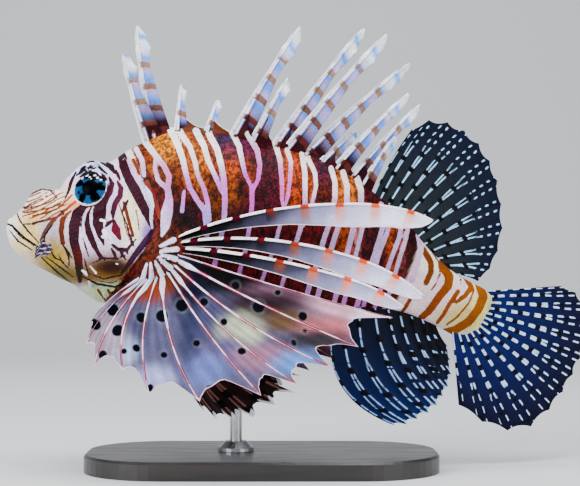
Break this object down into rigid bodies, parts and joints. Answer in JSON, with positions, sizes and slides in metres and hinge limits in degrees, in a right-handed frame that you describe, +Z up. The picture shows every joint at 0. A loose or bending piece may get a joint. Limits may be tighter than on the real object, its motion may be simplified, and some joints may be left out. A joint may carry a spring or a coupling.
{
  "type": "red lionfish model",
  "caption": "Life-size model of a red lionfish, hovering with fan-like pectoral fins and tall dorsal spines spread, held by a short rod on a flat base.",
  "frame": {"origin": "under the middle of the bounding box, on the surface that the base stands on", "axes": "+X from the snout towards the tail, +Z up, the left flank faces -Y"},
  "size_m": [0.2968, 0.1304, 0.2226],
  "materials": {
    "skin": "satin fish skin with red-brown bars between thin pale lines",
    "eye": "wet gloss, blue-white iris round a near-black pupil",
    "spiny_fin": "satin, pale blue-white with tan bands",
    "median_fin": "satin, navy blue with pale dashes",
    "pectoral_fin": "satin, pale lilac web with dark round spots",
    "pelvic_fin": "satin, dark brown with pale frilled tips",
    "stand_wood": "dark stained wood, satin",
    "stand_metal": "brushed steel"
  },
  "bodies": {
    "root": {"head": "skin", "lower_jaw": "skin", "torso": "skin", "tail_stalk": "skin", "eye_left": "eye", "eye_right": "eye", "dorsal_fin_spiny": "spiny_fin", "dorsal_fin_soft": "median_fin", "anal_fin": "median_fin", "caudal_fin": "median_fin", "pectoral_fin_left": "pectoral_fin", "pectoral_fin_right": "pectoral_fin", "pelvic_fin_left": "pelvic_fin", "pelvic_fin_right": "pelvic_fin", "stand_base": "stand_wood", "stand_collar": "stand_metal", "stand_rod": "stand_metal"}
  },
  "joints": []
}
